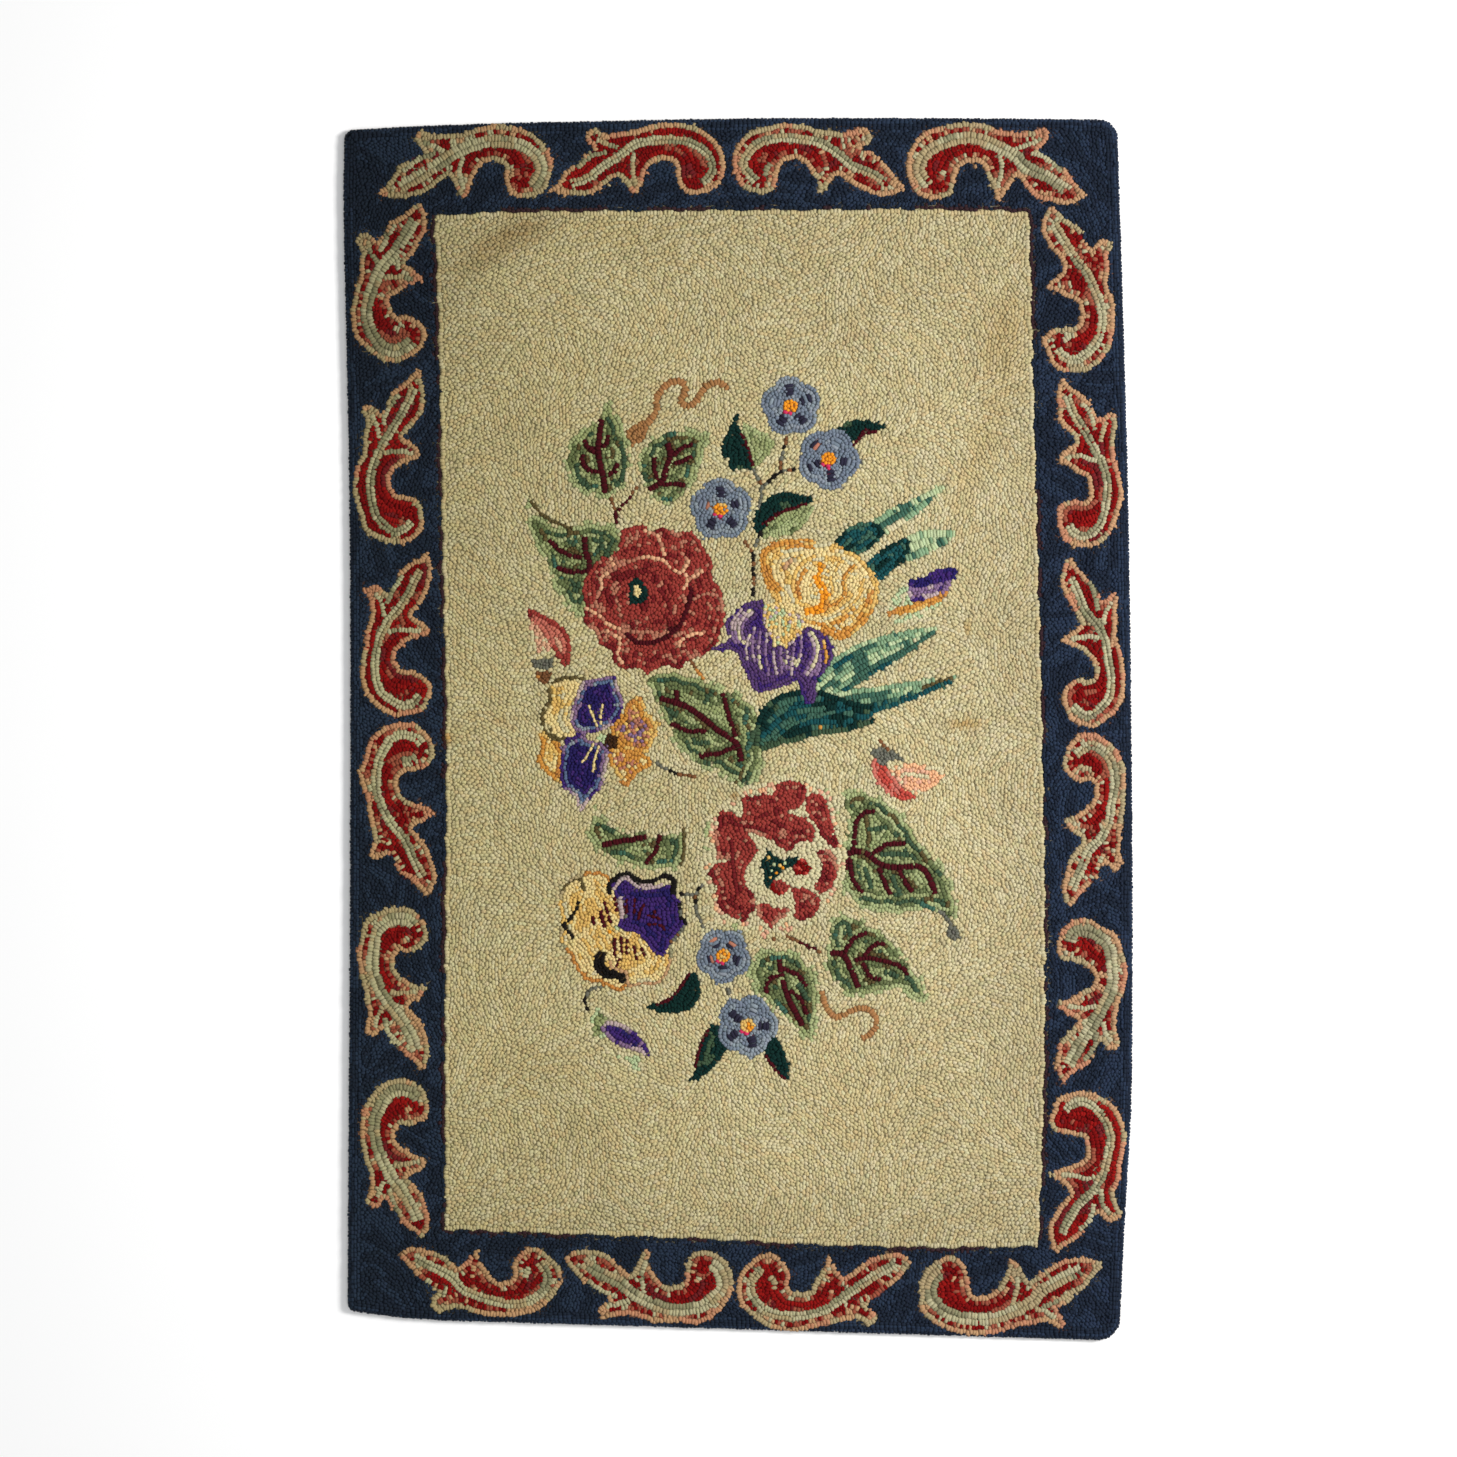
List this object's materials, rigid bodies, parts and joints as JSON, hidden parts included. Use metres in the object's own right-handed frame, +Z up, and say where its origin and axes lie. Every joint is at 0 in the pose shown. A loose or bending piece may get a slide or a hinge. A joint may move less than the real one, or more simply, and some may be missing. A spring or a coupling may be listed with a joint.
{
  "type": "hooked rug",
  "caption": "Flat hooked wool rug with a navy scroll border round a cream field of flowers, on a hemmed burlap foundation.",
  "frame": {"origin": "on the floor, under the middle of the rug's box", "axes": "+X to the right of the design, +Y to its top, +Z up out of the hooked face"},
  "size_m": [0.6896, 1.0676, 0.0089],
  "materials": {
    "wool_pile": "matt hooked wool",
    "burlap": "coarse plain weave"
  },
  "bodies": {
    "root": {"foundation": "burlap", "pile": "wool_pile"}
  },
  "joints": []
}
